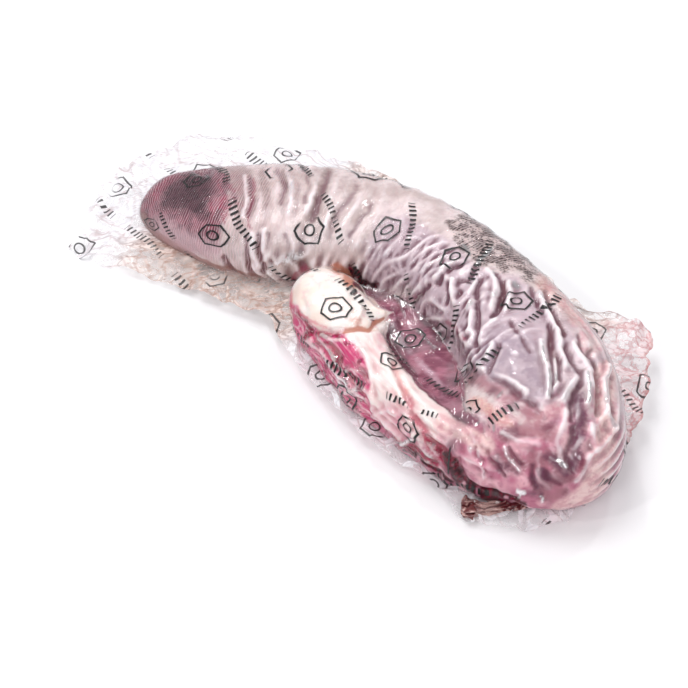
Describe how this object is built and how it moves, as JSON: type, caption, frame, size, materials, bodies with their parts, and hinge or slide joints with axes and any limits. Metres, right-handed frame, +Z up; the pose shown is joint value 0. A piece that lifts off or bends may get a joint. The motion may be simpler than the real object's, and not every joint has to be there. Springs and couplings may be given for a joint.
{
  "type": "vacuum-packed raw beef tongue",
  "caption": "Raw beef tongue with its root and trimmings, curled like a hook and shrunk tight in a clear vacuum pouch with a crumpled welded margin.",
  "frame": {"origin": "on the table, under the middle of the pack's bounding box", "axes": "+Z up from the table; +X along the pack's longer side in plan, from the tip's margin towards the root's; +Y from the root and the trimmings towards the tip's far side"},
  "size_m": [0.373, 0.343, 0.0674],
  "materials": {
    "film_over_meat": "clear, wrinkled, glossy pouch film shrunk on to pale grey-pink meat"
  },
  "bodies": {
    "root": {"packed_tongue": "film_over_meat"}
  },
  "joints": []
}
